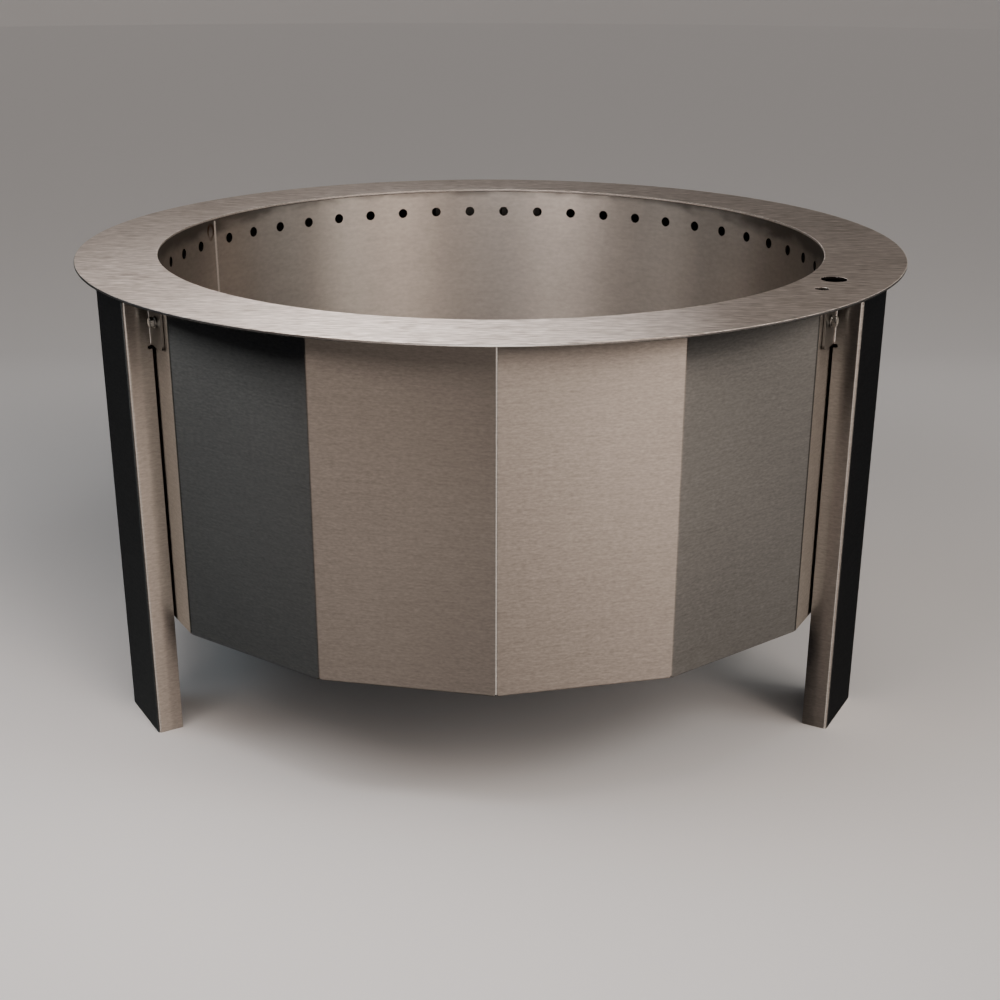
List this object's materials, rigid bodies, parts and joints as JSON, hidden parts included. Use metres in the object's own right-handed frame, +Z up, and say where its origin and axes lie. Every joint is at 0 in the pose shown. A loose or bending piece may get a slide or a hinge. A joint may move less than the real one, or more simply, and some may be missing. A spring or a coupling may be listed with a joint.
{
  "type": "smokeless fire pit",
  "caption": "Round double-walled steel fire pit with a wide flat rim, a faceted outer wall, a ring of small air holes in the fire chamber and folded channel legs.",
  "frame": {"origin": "on the ground under the centre of the pit", "axes": "+Z up through the middle of the fire opening; -Y towards the wall corner that faces the viewer, midway between the two front legs; +X to the side of the leg with the two rim holes"},
  "size_m": [0.94, 0.94, 0.498],
  "materials": {
    "brushed_stainless": "fine straight brushed grain, satin",
    "rolled_stainless": "smooth cold-rolled sheet, soft reflections",
    "chamber_steel": "rolled sheet, dull",
    "grate_steel": "dark heat-resistant, dull",
    "fastener_steel": "turned and rolled, semi-bright"
  },
  "bodies": {
    "pit": {"rim_ring": "brushed_stainless", "inner_drum": "rolled_stainless", "chamber_floor": "chamber_steel", "outer_panel_front": "brushed_stainless", "outer_panel_right": "brushed_stainless", "outer_panel_left": "brushed_stainless", "splice_left": "rolled_stainless", "splice_right": "rolled_stainless", "splice_rear": "rolled_stainless", "leg_left": "brushed_stainless", "leg_right": "brushed_stainless", "leg_rear": "brushed_stainless", "leg_left_bolt_1": "fastener_steel", "leg_left_washer_1": "fastener_steel", "leg_left_nut_1": "fastener_steel", "leg_left_bolt_2": "fastener_steel", "leg_left_washer_2": "fastener_steel", "leg_left_nut_2": "fastener_steel", "leg_right_bolt_1": "fastener_steel", "leg_right_washer_1": "fastener_steel", "leg_right_nut_1": "fastener_steel", "leg_right_bolt_2": "fastener_steel", "leg_right_washer_2": "fastener_steel", "leg_right_nut_2": "fastener_steel", "leg_rear_bolt_1": "fastener_steel", "leg_rear_washer_1": "fastener_steel", "leg_rear_nut_1": "fastener_steel", "leg_rear_bolt_2": "fastener_steel", "leg_rear_washer_2": "fastener_steel", "leg_rear_nut_2": "fastener_steel", "rim_bracket_1": "rolled_stainless", "rim_nut_1": "fastener_steel", "wall_spacer_1": "rolled_stainless", "rim_bracket_2": "rolled_stainless", "rim_nut_2": "fastener_steel", "wall_spacer_2": "rolled_stainless", "rim_bracket_3": "rolled_stainless", "rim_nut_3": "fastener_steel", "wall_spacer_3": "rolled_stainless", "rim_bracket_4": "rolled_stainless", "rim_nut_4": "fastener_steel", "wall_spacer_4": "rolled_stainless", "rim_bracket_5": "rolled_stainless", "rim_nut_5": "fastener_steel", "wall_spacer_5": "rolled_stainless", "rim_bracket_6": "rolled_stainless", "rim_nut_6": "fastener_steel", "wall_spacer_6": "rolled_stainless", "post_bracket": "rolled_stainless", "pin_tab": "rolled_stainless"},
    "grate": {"fire_grate": "grate_steel", "grate_ring": "grate_steel"}
  },
  "joints": [
    {"name": "grate_lift", "type": "slide", "parent": "pit", "child": "grate", "axis": [0, 0, 1], "range_m": [0, 0.34]}
  ]
}
